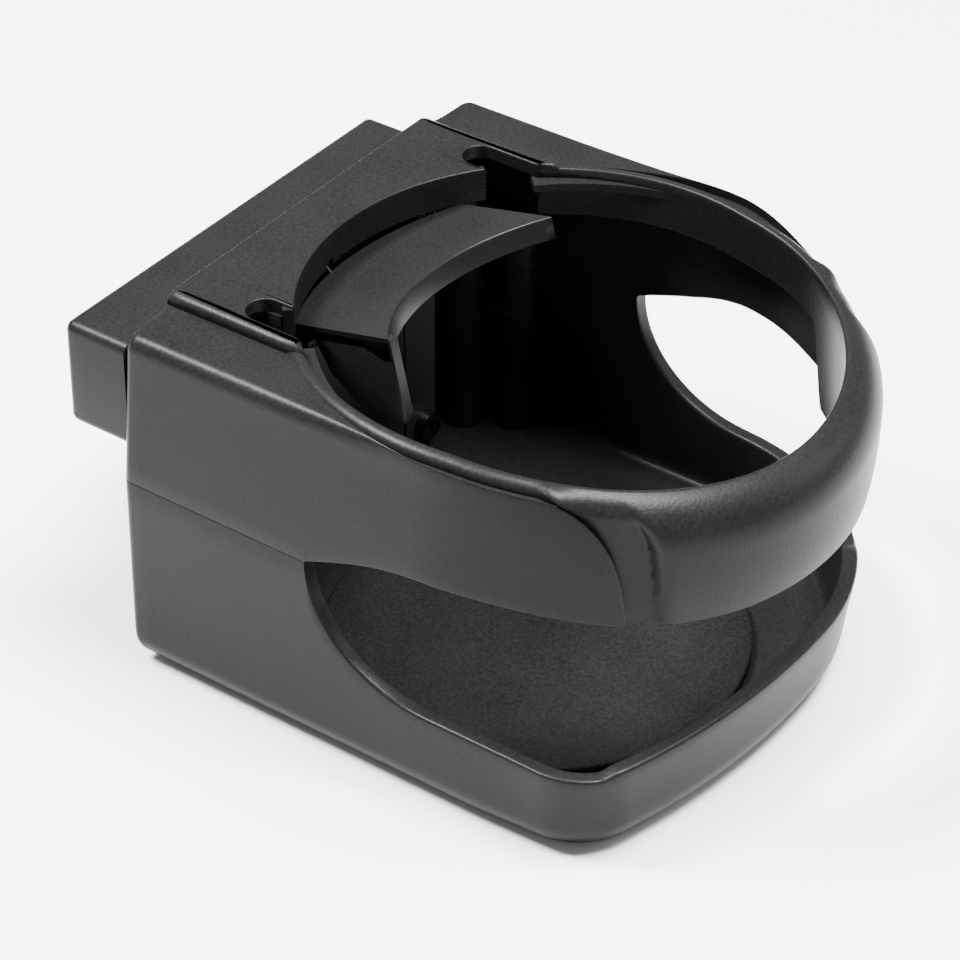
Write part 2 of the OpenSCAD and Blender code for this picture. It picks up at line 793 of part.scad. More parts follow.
module lower_jaw() {
    plate_y = channel_front_y + channel_t + carriage_gap;
    plate_d = channel_d - 2 * carriage_gap;
    color([0.18, 0.18, 0.19]) union() {
        // Carriage in the channel
        translate([-jaw_w / 2, plate_y, jaw_low_z]) cube([jaw_w, plate_d, arm_t + 1]);
        both_sides() translate([jaw_w / 2 - finger_w, plate_y, jaw_low_z])
            cube([finger_w, plate_d, finger_h]);
        // Web that carries the spring pegs
        translate([-jaw_w / 2, plate_y, jaw_low_z]) cube([jaw_w, web_t, peg_z + peg_r + 0.6 - jaw_low_z]);
        both_sides() translate([spring_x, 0, peg_z]) rod_y(plate_y, plate_y + plate_d, peg_r);
        // Neck through the rear wall
        translate([-slot_half + carriage_gap, plate_y, jaw_low_z])
            cube([2 * (slot_half - carriage_gap), rear_y + 2 * edge_pad_t - plate_y, arm_t]);
        // Arm
        hull() {
            translate([-jaw_w / 2, rear_y + edge_pad_t, jaw_low_z]) cube([jaw_w, 1, arm_t]);
            both_sides() translate([jaw_w / 2 - arm_corner_r, rear_y + jaw_reach - arm_corner_r, jaw_low_z])
                cylinder(h = arm_t, r = arm_corner_r, $fn = 32);
        }
        for (x = jaw_rib_x) translate([x - jaw_rib_w / 2, rear_y + edge_pad_t, jaw_low_z - arm_rib_h])
            cube([jaw_rib_w, jaw_reach - arm_corner_r - 2, arm_rib_h + 1]);
    }
}

module lower_jaw_pad() {
    color([0.12, 0.12, 0.12])
    translate([jaw_pad_inset - jaw_w / 2, jaw_pad_y, jaw_top_z + eps])
        cube([jaw_w - 2 * jaw_pad_inset, rear_y + jaw_reach - jaw_pad_inset - jaw_pad_y, jaw_pad_t]);
}

// Extension spring with a closed loop at each end
module jaw_spring(x) {
    steps = 12;
    turns = 7;
    loop_r = peg_r + wire_r + 0.12;
    low = peg_z + loop_r + spring_r * 0.6;
    high = anchor_z - loop_r - spring_r * 0.6;
    lower_loop = [for (i = [0:steps]) let (a = 150 + 300 * i / steps)
        [x + loop_r * sin(a), spring_y, peg_z + loop_r * cos(a)]];
    coil = [for (i = [0:turns * steps]) let (a = 360 * i / steps)
        [x + spring_r * cos(a), spring_y + spring_r * sin(a), low + (high - low) * i / (turns * steps)]];
    upper_loop = [for (i = [0:steps]) let (a = 150 + 300 * i / steps)
        [x + loop_r * sin(a), spring_y, anchor_z + loop_r * cos(a)]];
    color([0.72, 0.72, 0.74]) swept_wire(concat(lower_loop, coil, upper_loop), wire_r);
}

module jaw_spring_left() { jaw_spring(-spring_x); }
module jaw_spring_right() { jaw_spring(spring_x); }

// Screw with its head at the origin and its shank along +Z
module screw(length) {
    difference() {
        union() {
            translate([0, 0, -screw_head_h]) cylinder(h = screw_head_h, r = screw_head_r);
            translate([0, 0, -eps]) cylinder(h = length, r = screw_r - eps);
        }
        for (a = [0, 90]) rotate([0, 0, a])
            translate([-slot_drive_l / 2, -slot_drive_w / 2, -screw_head_h - 1])
                cube([slot_drive_l, slot_drive_w, slot_drive_d + 1]);
    }
}

module shell_screws() {
    color([0.55, 0.55, 0.57])
    shell_boss_places() translate([0, 0, screw_seat_z]) screw(shell_screw_l);
}

module cover_screws() {
    color([0.55, 0.55, 0.57])
    both_sides() translate([cover_boss_x, cover_boss_y, cover_shelf_z]) screw(cover_screw_l);
}

module block_screws() {
    color([0.55, 0.55, 0.57])
    block_screw_places() translate([0, rear_inner_y, 0]) rotate([-90, 0, 0]) screw(block_screw_l);
}

module channel_screws() {
    color([0.55, 0.55, 0.57])
    channel_screw_places() translate([0, flange_y - flange_t - flange_gap, 0]) rotate([-90, 0, 0])
        screw(channel_screw_l);
}

tray_shell();
upper_shell();
top_cover();
cup_pad();
retainer_flap();
hinge_pin();
hinge_clips();
flap_spring();
clamp_block();
upper_jaw_pad();
edge_pads();
jaw_channel();
lower_jaw();
lower_jaw_pad();
jaw_spring_left();
jaw_spring_right();
spring_anchors();
shell_screws();
cover_screws();
block_screws();
channel_screws();
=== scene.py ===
import math

import bmesh
import bpy
import numpy as np
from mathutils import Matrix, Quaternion, Vector


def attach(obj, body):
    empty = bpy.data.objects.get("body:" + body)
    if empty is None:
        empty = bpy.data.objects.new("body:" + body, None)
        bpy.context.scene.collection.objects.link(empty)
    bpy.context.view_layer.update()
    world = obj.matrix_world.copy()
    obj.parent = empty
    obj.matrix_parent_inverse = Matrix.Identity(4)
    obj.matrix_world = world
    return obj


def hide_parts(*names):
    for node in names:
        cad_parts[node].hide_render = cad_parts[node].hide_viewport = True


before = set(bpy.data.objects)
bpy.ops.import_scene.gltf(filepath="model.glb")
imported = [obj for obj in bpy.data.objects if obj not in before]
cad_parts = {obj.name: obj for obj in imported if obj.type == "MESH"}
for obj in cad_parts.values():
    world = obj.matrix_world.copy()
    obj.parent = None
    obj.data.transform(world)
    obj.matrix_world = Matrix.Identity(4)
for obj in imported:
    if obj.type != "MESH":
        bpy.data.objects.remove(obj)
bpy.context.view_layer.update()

MM = 0.001

# Sizes in millimetres, in the row's frame
SIDE_X = 41.5        # half the body's width at the tray
REAR_Y = 49.2        # rear wall's outer face
REAR_R = 1.6         # rear corners in plan
WALL = 2.4           # thickness of the moulded walls
FLOOR = 3.0          # thickness of the tray's floor
PARTING = 32.0       # height where the tray meets the upper shell
RIM = 14.5           # height of the tray's low rim
DECK_Z = 56.7        # top of the deck panel
DECK_X = 29.85       # half the deck panel's width
LIP_IN = 35.5        # radius of the opening's front half
BACK_R = 36.2        # radius of the opening's rear half
BACK_Y = 4.5         # that half's centre
HINGE = (37.7, 46.1)  # y and z of the flap's hinge
TILT = 13.3          # degrees the flap's plate rises to the front


# ---------------------------------------------------------------- helpers
def smooth(a, b, x):
    """Rises from 0 at a to 1 at b as 3t^2 - 2t^3."""
    t = np.clip((np.asarray(x, float) - a) / (b - a), 0, 1)
    return t * t * (3 - 2 * t)


def grid_faces(rows, columns, start=0):
    """Quads of a grid of rows by columns points, numbered row by row from start."""
    i = np.arange(rows - 1)[:, None] * columns + np.arange(columns - 1)[None, :] + start
    return np.stack([i, i + 1, i + columns + 1, i + columns], -1).reshape(-1, 4)


def weld(points, quads):
    """Points that round to the same micron become one. Quads that collapse become triangles, or go."""
    key = np.round(points, 3)
    unique, inverse = np.unique(key, axis=0, return_inverse=True)
    q = inverse.reshape(-1)[quads]
    same = q == np.roll(q, -1, axis=1)
    quad = q[same.sum(1) == 0]
    quad = quad[(quad[:, 0] != quad[:, 2]) & (quad[:, 1] != quad[:, 3])]
    one = same.sum(1) == 1
    tri = q[one][~same[one]].reshape(-1, 3)
    tri = tri[(tri[:, 0] != tri[:, 2])]
    return unique, quad, tri


def piece(name, grids, body, material, replaces=(), sharp=38.0, mirror=False):
    """One mesh object from closed grids of points in millimetres, each (rows, columns, 3)."""
    if mirror:
        grids = [g * np.array([-1.0, 1.0, 1.0]) for g in grids]
    points, quads, start = [], [], 0
    for g in grids:
        points.append(g.reshape(-1, 3))
        quads.append(grid_faces(g.shape[0], g.shape[1], start))
        start += g.shape[0] * g.shape[1]
    v, quad, tri = weld(np.concatenate(points), np.concatenate(quads))
    mesh = bpy.data.meshes.new(name)
    mesh.from_pydata((v * MM).tolist(), [], quad.tolist() + tri.tolist())
    bm = bmesh.new()
    bm.from_mesh(mesh)
    bmesh.ops.recalc_face_normals(bm, faces=bm.faces)
    bm.to_mesh(mesh)
    bm.free()
    mesh.polygons.foreach_set("use_smooth", np.ones(len(mesh.polygons), bool))
    mesh.set_sharp_from_angle(angle=math.radians(sharp))
    mesh.validate()
    obj = bpy.data.objects.new(name, mesh)
    bpy.context.scene.collection.objects.link(obj)
    mesh.materials.append(material)
    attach(obj, body)
    if replaces:
        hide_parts(*replaces)
    return obj


def slab(x0, x1, y0, y1, z0, z1, r=0.4, steps=3):
    """A box with rounded edges: a rounded rectangle carried up z, drawn in at both ends on a quarter circle.
    A last ring just inside each end's edge keeps the flat faces flat in shading."""
    def ring(d, z):
        rr = max(r - d, 0.02)
        a = np.linspace(0, np.pi / 2, steps + 1)
        cx = [x1 - d - rr, x0 + d + rr, x0 + d + rr, x1 - d - rr]
        cy = [y1 - d - rr, y1 - d - rr, y0 + d + rr, y0 + d + rr]
        turned = [a + k * np.pi / 2 for k in range(4)]
        pts = [np.stack([cx[k] + rr * np.cos(turned[k]), cy[k] + rr * np.sin(turned[k])], -1)
               for k in range(4)]
        p = np.concatenate(pts + [pts[0][:1]])
        return np.column_stack([p, np.full(len(p), z)])
    t = np.linspace(0, np.pi / 2, steps + 1)
    rows = [ring(r * (1 - math.sin(a)), z0 + r * (1 - math.cos(a))) for a in t]
    rows += [ring(r * (1 - math.sin(a)), z1 - r * (1 - math.cos(a))) for a in t[::-1]]
    rows = [ring(r + 0.15, z0)] + rows + [ring(r + 0.15, z1)]
    n = len(rows[0])
    low = np.tile([[(x0 + x1) / 2, (y0 + y1) / 2, z0]], (n, 1))
    high = np.tile([[(x0 + x1) / 2, (y0 + y1) / 2, z1]], (n, 1))
    return np.stack([low] + rows + [high])


def lathe(profile, centre=(0, 0), segments=64):
    """(radius, z) pairs turned about the vertical line through centre. A zero radius closes a pole."""
    a = np.linspace(0, 2 * np.pi, segments + 1)
    r = np.array([p[0] for p in profile])[:, None]
    z = np.array([p[1] for p in profile])[:, None]
    return np.stack([centre[0] + r * np.cos(a), centre[1] + r * np.sin(a), z + 0 * a], -1)


# ---------------------------------------------------------------- materials
def link(tree, a, b):
    tree.links.new(a, b)


def grain_group():
    """Fine moulded grain: two noises of different size, as height, a mask and a normal."""
    g = bpy.data.node_groups.new("moulded_grain", "ShaderNodeTree")
    g.interface.new_socket("Size", in_out="INPUT", socket_type="NodeSocketFloat").default_value = 1800.0
    g.interface.new_socket("Depth", in_out="INPUT", socket_type="NodeSocketFloat").default_value = 0.1
    g.interface.new_socket("Mask", in_out="OUTPUT", socket_type="NodeSocketFloat")
    g.interface.new_socket("Normal", in_out="OUTPUT", socket_type="NodeSocketVector")
    i, o = g.nodes.new("NodeGroupInput"), g.nodes.new("NodeGroupOutput")
    co = g.nodes.new("ShaderNodeTexCoord")
    fine, broad = g.nodes.new("ShaderNodeTexNoise"), g.nodes.new("ShaderNodeTexNoise")
    fine.inputs["Detail"].default_value = 3.0
    broad.inputs["Scale"].default_value = 90.0
    broad.inputs["Detail"].default_value = 2.0
    mix = g.nodes.new("ShaderNodeMath")
    mix.operation = "MULTIPLY_ADD"
    mix.inputs[1].default_value = 0.35
    bump = g.nodes.new("ShaderNodeBump")
    bump.inputs["Distance"].default_value = 0.0002
    link(g, co.outputs["Object"], fine.inputs["Vector"])
    link(g, co.outputs["Object"], broad.inputs["Vector"])
    link(g, i.outputs["Size"], fine.inputs["Scale"])
    link(g, broad.outputs["Fac"], mix.inputs[0])
    link(g, fine.outputs["Fac"], mix.inputs[2])
    link(g, fine.outputs["Fac"], bump.inputs["Height"])
    link(g, i.outputs["Depth"], bump.inputs["Strength"])
    link(g, mix.outputs[0], o.inputs["Mask"])
    link(g, bump.outputs["Normal"], o.inputs["Normal"])
    return g


GRAIN = grain_group()


def finish_material(name, dark, light, rough_low, rough_high, size=1800.0, depth=0.1, metal=0.0,
                    specular=0.5):
    """A principled material whose colour and roughness wander with the grain's mask."""
    m = bpy.data.materials.new(name)
    m.use_nodes = True
    t = m.node_tree
    shader = t.nodes["Principled BSDF"]
    grain = t.nodes.new("ShaderNodeGroup")
    grain.node_tree = GRAIN
    grain.inputs["Size"].default_value = size
    grain.inputs["Depth"].default_value = depth
    ramp = t.nodes.new("ShaderNodeValToRGB")
    ramp.color_ramp.elements[0].position = 0.45
    ramp.color_ramp.elements[0].color = (*dark, 1)
    ramp.color_ramp.elements[1].position = 0.9
    ramp.color_ramp.elements[1].color = (*light, 1)
    rough = t.nodes.new("ShaderNodeMapRange")
    rough.inputs["From Min"].default_value = 0.4
    rough.inputs["From Max"].default_value = 0.95
    rough.inputs["To Min"].default_value = rough_low
    rough.inputs["To Max"].default_value = rough_high
    link(t, grain.outputs["Mask"], ramp.inputs["Fac"])
    link(t, grain.outputs["Mask"], rough.inputs["Value"])
    link(t, ramp.outputs["Color"], shader.inputs["Base Color"])
    link(t, rough.outputs["Result"], shader.inputs["Roughness"])
    link(t, grain.outputs["Normal"], shader.inputs["Normal"])
    shader.inputs["Metallic"].default_value = metal
    shader.inputs["Specular IOR Level"].default_value = specular
    return m


ABS = finish_material("satin_black_plastic", (0.0034, 0.0034, 0.0036), (0.0060, 0.0060, 0.0063), 0.32, 0.40,
                      2200.0, 0.16, specular=0.07)
FLAP = finish_material("smooth_black_plastic", (0.0036, 0.0036, 0.0038), (0.0060, 0.0060, 0.0063), 0.28, 0.36,
                       2400.0, 0.08, specular=0.09)
INNER = finish_material("dark_inner_plastic", (0.0060, 0.0060, 0.0063), (0.0100, 0.0100, 0.0104), 0.40, 0.50,
                        1800.0, 0.10, specular=0.2)
RUBBER = finish_material("black_rubber", (0.0040, 0.0040, 0.0040), (0.0080, 0.0080, 0.0080), 0.65, 0.80,
                         1500.0, 0.25, specular=0.2)
FOAM = finish_material("mottled_foam", (0.0016, 0.0016, 0.0015), (0.0058, 0.0058, 0.0053), 0.80, 0.95,
                       2300.0, 0.9, specular=0.05)
STEEL = finish_material("blackened_steel", (0.030, 0.030, 0.032), (0.045, 0.045, 0.048), 0.28, 0.40,
                        1500.0, 0.05, metal=1.0)
WIRE = finish_material("black_spring_wire", (0.024, 0.024, 0.026), (0.036, 0.036, 0.038), 0.24, 0.34,
                       1500.0, 0.03, metal=1.0)


# ---------------------------------------------------------------- tray
LEFT_R, RIGHT_R = 11.0, 37.0     # the tray's front corners in plan
BOW_R = 110.0                    # radius of the front's bow
BOW_Y = BOW_R - 37.3             # its centre
SLOT_X = 7.0                     # half the width of the slot that the jaw slides in
TIP_Y, TIP_RUN = 17.0, 20.0      # the windows' rear tip and the length of their curved ends


def tray_half(d, r):
    """Half of the tray's plan, drawn in by d, for a front corner of radius r: rear wall, rear corner, side,
    front corner, front bow. The corner's centre is where it touches both the side and the bow."""
    centre = np.array([SIDE_X - r, BOW_Y - math.sqrt((BOW_R - r) ** 2 - (SIDE_X - r) ** 2)])
    turn = math.atan2(centre[1] - BOW_Y, centre[0])
    rho = max(REAR_R - d, 0.25)
    ex, ey = SIDE_X - d, REAR_Y - d
    xs = np.concatenate([np.linspace(0, SLOT_X - 0.002, 5), np.linspace(SLOT_X + 0.002, ex - rho, 9)])
    rear = np.column_stack([xs, np.full(len(xs), ey)])
    a = np.linspace(np.pi / 2, 0, 7)[1:]
    corner = np.column_stack([ex - rho + rho * np.cos(a), ey - rho + rho * np.sin(a)])
    y_mid = max(TIP_Y - TIP_RUN, centre[1] + 1.0)
    y1 = np.linspace(ey - rho, TIP_Y, 14)[1:]
    y2 = TIP_Y - (TIP_Y - y_mid) * (1 - np.cos(np.linspace(0, np.pi / 2, 33)))[1:]
    y3 = np.linspace(y_mid, centre[1], 14)[1:]
    ys = np.concatenate([y1, y2, y3])
    side = np.column_stack([np.full(len(ys), ex), ys])
    a = np.linspace(0, turn, 37)[1:]
    front = centre + (r - d) * np.column_stack([np.cos(a), np.sin(a)])
    a = np.linspace(turn, -np.pi / 2, 17)[1:]
    bow = np.array([0, BOW_Y]) + (BOW_R - d) * np.column_stack([np.cos(a), np.sin(a)])
    return np.concatenate([rear, corner, side, front, bow])


def tray_plan(d):
    """The whole plan as a loop of points: the right half, then the left half backwards."""
    return np.concatenate([tray_half(d, RIGHT_R), tray_half(d, LEFT_R)[::-1][1:] * [-1, 1]])


def tray_rim(p):
    """Height of the rim over a plan point: level at the parting line behind the window's tip, then a quarter
    ellipse down to the low rim, with a small step up where the front begins."""
    x, y = p[:, 0], p[:, 1]
    t = np.clip((y - (TIP_Y - TIP_RUN)) / TIP_RUN, 0, 1)
    z = PARTING - 0.06 - (PARTING - RIM) * np.sqrt(np.clip(1 - t * t, 0, 1))
    z = np.where(y >= TIP_Y, PARTING - 0.06, z)
    z = z + 0.9 * smooth(-29.5, -31.5, y)
    slot = (np.abs(x) < SLOT_X) & (y > 40)
    return np.where(slot, 3.25, z)


def tray_grid():
    """Closed skin: a profile runs from the middle of the underside, round the bottom edge, up the outer wall,
    over the rim, down the inner wall and back to the middle of the floor, once for every plan point."""
    base = tray_plan(0.0)
    rim = tray_rim(base)
    open_top = np.where(rim < 4, PARTING - 0.06, rim)
    drawn = (tray_plan(WALL) - base) / WALL
    rows = []

    def row(d, z, scale=None, flare=1.0):
        p = base + drawn * np.asarray(d)[:, None] if np.ndim(d) else tray_plan(d)
        if scale is not None:
            p = p * scale
        z = np.minimum(z, rim) if scale is None else np.full(len(p), z)
        forward = smooth(-8, -34, p[:, 1]) * flare
        lean = 1.6 * np.clip(z / RIM, 0, 1) ** 1.5 - 1.4
        length = np.maximum(np.hypot(p[:, 0], p[:, 1]), 1e-6)
        q = p * (1 + (forward * lean / length))[:, None]
        q[:, 1] = np.where((p[:, 1] < -8), p[:, 1] + (q[:, 1] - p[:, 1]), p[:, 1])
        rows.append(np.column_stack([q, z]))

    n = len(base)
    bottom = 5.0
    rows.append(np.tile([[0, 5.0, 0.0]], (n, 1)))
    for s in (0.35, 0.7):
        row(bottom, 0.0, s)
    for a in np.linspace(0, np.pi / 2, 10):
        row(bottom * (1 - math.sin(a)), np.full(n, bottom * (1 - math.cos(a))))
    edge = np.where(rim > PARTING - 0.5, 0.1, 0.55)
    for t in np.linspace(0, 1, 9)[1:]:
        row(0.0, bottom + (open_top - edge - bottom) * t)
    for a in np.linspace(0, np.pi / 2, 5)[1:]:
        row(edge * (1 - math.cos(a)), open_top - edge * (1 - math.sin(a)))
    for a in np.linspace(0, np.pi / 2, 5):
        row(WALL - edge * (1 - math.sin(a)), open_top - edge * (1 - math.cos(a)))
    fillet = 1.6
    for t in np.linspace(0, 1, 7)[1:]:
        row(WALL, open_top - edge + (FLOOR + fillet - open_top + edge) * t)
    for a in np.linspace(0, np.pi / 2, 6)[1:]:
        row(WALL + fillet * (1 - math.cos(a)), np.full(n, FLOOR + fillet * (1 - math.sin(a))))
    for s in (0.7, 0.35):
        row(WALL + fillet, FLOOR, s)
    rows.append(np.tile([[0, 5.0, FLOOR]], (n, 1)))
    grid = np.stack(rows)
    return np.concatenate([grid, grid[:, :1]], axis=1)


bridge = slab(-SLOT_X - 0.3, SLOT_X + 0.3, REAR_Y - WALL, REAR_Y, 25.55, PARTING - 0.06, 0.15)
piece("tray", [tray_grid(), bridge], "holder", ABS, ["tray_shell"])


# ---------------------------------------------------------------- upper shell
def lip_height(y):
    """Height of the opening's edge, dipping to the front as a cube."""
    return 55.95 - 5.2 * (np.clip(26 - np.asarray(y, float), 0, None) / 61.5) ** 3


def window_high(y):
    """Height of the upper shell's underside: up from the window's tip on a sine, then down to the front on a
    cosine."""
    t = np.clip((TIP_Y - y) / TIP_RUN, 0, 1)
    s = np.clip((-6 - y) / (40.5 - 6), 0, 1)
    return np.where(y >= TIP_Y, PARTING + 0.06,
                    PARTING + 0.06 + 5 * np.sin(np.pi / 2 * t) - 4.2 * (1 - np.cos(np.pi * s)) / 2)


END_A = -42.3        # angle of the tongue's end
GROOVE_END_Y = 45.0  # rear end of the groove beside the deck


def side_outer(draw_in):
    """Outer plan of one side: rear edge, rear corner, straight side, then an arc that draws in to the end of
    the tongue."""
    xs = np.linspace(30.3, SIDE_X - REAR_R, 10)
    rear = np.column_stack([xs, np.full(10, REAR_Y)])
    a = np.linspace(np.pi / 2, 0, 9)[1:]
    corner = np.column_stack([SIDE_X - REAR_R + REAR_R * np.cos(a), REAR_Y - REAR_R + REAR_R * np.sin(a)])
    y1 = np.linspace(REAR_Y - REAR_R, TIP_Y, 16)[1:]
    y2 = TIP_Y * np.cos(np.linspace(0, np.pi / 2, 25))[1:]
    side = np.column_stack([np.full(39, SIDE_X), np.concatenate([y1, y2])])
    phi = np.radians(END_A * np.sin(np.linspace(0, np.pi / 2, 90)))[1:]
    r = SIDE_X - draw_in * smooth(0, -30, np.degrees(phi))
    arc = np.column_stack([r * np.cos(phi), r * np.sin(phi)])
    return np.concatenate([rear, corner, side, arc])


def groove_radius(deg, draw_in):
    """Radius of the groove's outer edge at an angle in degrees: wider towards the deck, drawn in towards the
    band."""
    return 39.75 + 0.9 * smooth(15, 42, deg) - (draw_in - 0.7) * smooth(5, -25, deg)


def side_inner(outer, draw_in):
    """Inner border of the shoulder for each outer point: the deck's groove, then the lip's groove."""
    x, y = outer[:, 0], outer[:, 1]
    rear = x < SIDE_X - 0.001
    run_in = GROOVE_END_Y + (REAR_Y - GROOVE_END_Y) * np.clip((SIDE_X - x) / 10, 0, 1)
    yi = np.where((y > 40) & rear, run_in, np.minimum(y, GROOVE_END_Y))
    phi = np.arctan2(y, x)
    groove_r = groove_radius(np.degrees(phi), draw_in)
    straight = np.column_stack([np.full(len(x), 30.25), yi])
    turn_y = math.sqrt(40.6 ** 2 - 30.25 ** 2)
    low_y = np.clip(y, None, turn_y)
    beside = np.column_stack([np.sqrt(np.clip(groove_r ** 2 - low_y ** 2, 0, None)), low_y])
    round_cup = np.column_stack([groove_r * np.cos(phi), groove_r * np.sin(phi)])
    ring = np.where((y > 0)[:, None], beside, round_cup)
    return np.where((y > turn_y)[:, None], straight, ring)


def side_grid(draw_in, lower):
    """Closed skin of one side: for each plan point a closed section runs up the outer wall, over the
    shoulder's rounding, across to the groove, down into it, and back down the inner wall to the underside."""
    o = side_outer(draw_in)
    i = side_inner(o, draw_in)
    n = len(o)
    phi = np.degrees(np.arctan2(o[:, 1], o[:, 0]))
    ringward = np.where(o[:, 1] < 0, smooth(0, -28, phi), 0.0)
    gap_d = np.maximum(np.hypot(*(i - o).T), 1e-6)
    m = (i - o) / gap_d[:, None]
    top = np.minimum(55.25 + 0.01 * (REAR_Y - o[:, 1]), lip_height(o[:, 1]) - 0.15) - lower * ringward
    low = window_high(o[:, 1])
    # the tongue's end: its top edge turns down on a quarter of an ellipse
    t = np.clip((phi + 25.5) / (END_A + 25.5), 0, 1) * (o[:, 1] < 0)
    drop = 1 - np.sqrt(1 - t ** 2)
    end_top = top - (top - low - 1.5) * drop
    a = 2.4 * (1 - ringward) + np.minimum(2.6, gap_d - 0.15) * ringward
    a = np.minimum(a, gap_d - 0.12)
    b = 2.6 * (1 - ringward) + 7.0 * ringward
    b = np.minimum(b, (end_top - low) * 0.7)
    lean = lambda z: 0.075 * np.clip(z - PARTING, 0, 20)
    rows = []

    def row(d, z):
        z = z + np.zeros(n)
        d = np.minimum(d + np.zeros(n), gap_d)
        inwards = d + lean(z) * (1 - ringward * 0.6) * np.clip(1 - d / gap_d, 0, 1)
        p = o + m * np.minimum(inwards, gap_d)[:, None]
        rows.append(np.column_stack([p, z]))

    edge = np.where(o[:, 1] > TIP_Y - 0.2, 0.08, 0.3)
    for s in np.linspace(0, np.pi / 2, 4):
        row(edge * (1 - math.sin(s)), low + edge * (1 - math.cos(s)))
    for s in np.linspace(0, 1, 9)[1:]:
        row(0.0, low + edge + (end_top - b - low - edge) * s)
    for s in np.linspace(0, np.pi / 2, 12)[1:]:
        row(a * (1 - math.cos(s)), end_top - b * (1 - math.sin(s)))
    for s in (0.5, 1.0):
        row(a + (gap_d - 0.12 - a) * s, end_top)
    row(gap_d - 0.03, end_top - 0.06)
    row(gap_d, end_top - 0.2)
    floor_z = np.maximum(end_top - 2.6, low + 0.5)
    row(gap_d, floor_z)
    inner = np.minimum(WALL, gap_d)
    row(inner, floor_z)
    for s in np.linspace(0, 1, 5)[1:]:
        row(inner, floor_z + (low + edge - floor_z) * s)
    row(inner - edge, low)
    rows.append(rows[0])
    grid = np.stack(rows)
    mid = grid.mean(axis=0)
    end = np.tile(mid[-1][None, None], (len(rows), 1, 1))
    start = np.tile(mid[0][None, None], (len(rows), 1, 1))
    return np.concatenate([start, grid, end], axis=1)


rear_wall = slab(-30.28, 30.28, REAR_Y - WALL, REAR_Y, PARTING + 0.06, 54.4, 0.12)
piece("upper_side_right", [side_grid(2.3, 1.5)], "holder", ABS, ["upper_shell"])
piece("upper_side_left", [side_grid(0.7, 0.0)], "holder", ABS, (), mirror=True)
piece("upper_rear_wall", [rear_wall], "holder", ABS, ())


# ---------------------------------------------------------------- opening's edge, lip and front band
def opening(phi):
    """Radius of the opening at an angle in radians: the larger of two circles, blended."""
    back = BACK_Y * np.sin(phi) + np.sqrt(BACK_R ** 2 - (BACK_Y * np.cos(phi)) ** 2)
    return 0.5 * (LIP_IN + back + np.sqrt((LIP_IN - back) ** 2 + 0.02))


LIP_START = math.atan2(27.3, 28.2)
STRIP_D = 3.3        # how far out the recessed strip between tongue and band lies
CHANNEL_R = 37.2     # inner radius of the channel's floor


def lip_grid():
    """Closed section carried round the opening: a thin lip beside the tongues, which swells over the front
    into the band. The band rises from each tongue over 4 degrees and follows the tongue's rounded end."""
    # angles clockwise from the right of the deck to its left, finer where the band begins
    front = -np.pi / 2
    half = np.concatenate([np.linspace(LIP_START, math.radians(-30), 70),
                           np.linspace(math.radians(-30), math.radians(-56), 60)[1:],
                           np.linspace(math.radians(-56), front, 36)[1:]])
    phi = np.concatenate([half, (-np.pi - half)[::-1][1:]])
    deg = np.degrees(phi)
    off = np.abs(deg + 90)          # degrees away from the front
    r0 = opening(phi)
    x, y = r0 * np.cos(phi), r0 * np.sin(phi)
    z = lip_height(y)
    n = len(phi)
    rows = []

    def row(d, zz):
        r = r0 + d
        rows.append(np.column_stack([r * np.cos(phi), r * np.sin(phi), zz + np.zeros(n)]))

    def bulge(edge_deg):
        """How far the band stands out at each angle: all of it at the front, none past the edge."""
        t = np.clip((edge_deg - off) / 4.0, 0, 1)
        return 1 - (1 - t) ** 2.5

    low = 32.6 + 0.8 * smooth(20, 45, off)
    deep = low + (z - 8.0 - low) * smooth(52, 60, off)
    # inner wall, from the bottom to the opening's edge
    for s in np.linspace(0, 1, 8):
        row(0.0, deep + 0.35 + (z - 0.45 - deep - 0.35) * s)
    for s in np.linspace(0, np.pi / 2, 4)[1:]:
        row(0.45 * (1 - math.cos(s)), z - 0.45 * (1 - math.sin(s)))
    # outer side: the thin lip's profile and the band's profile, blended point by point
    k = np.linspace(0, 1, 40)
    thin_turn = np.clip(k / 0.5, 0, 1) * np.pi / 2
    thin_d = np.where(k < 0.5, 0.45 + 1.75 * np.sin(thin_turn), 2.2)
    thin_z = np.where(k < 0.5, -1.5 * (1 - np.cos(thin_turn)), -1.5 - (k - 0.5) * 2)
    # band: an arc whose slope turns from 18 degrees to upright at the widest point, then in again below
    slope = np.radians(18 + 72 * np.clip(k / 0.62, 0, 1))
    roll = 5.15 / (1 - math.sin(slope[0]))
    band_d = 0.45 + roll * (np.sin(slope) - math.sin(slope[0]))
    band_drop = roll * (math.cos(slope[0]) - np.cos(slope))
    under = np.clip((k - 0.62) / 0.38, 0, 1)
    for j in range(len(k)):
        w = bulge(41.3 + 8.7 * math.exp(-(band_drop[j] + 8 * under[j]) / 4.6))
        zb = z - band_drop[j] - (z - band_drop[j] - low - 0.35) * under[j]
        zt = z + thin_z[j] + (deep + 0.35 - (z + thin_z[j])) * (np.clip((k[j] - 0.5) / 0.5, 0, 1))
        dt = thin_d[j] + (STRIP_D - thin_d[j]) * smooth(66, 60, off) * np.clip(k[j] / 0.3, 0, 1)
        db = band_d[j] - 0.9 * under[j] ** 2.2
        row(dt + (db - dt) * w, zt + (zb - zt) * np.maximum(w, smooth(64, 55, off)))
    row(2.2, deep)
    row(0.35, deep)
    rows.append(rows[0])
    grid = np.stack(rows)
    mid = grid.mean(axis=0)
    start = np.tile(mid[0][None, None], (len(rows), 1, 1))
    end = np.tile(mid[-1][None, None], (len(rows), 1, 1))
    return np.concatenate([start, grid, end], axis=1)


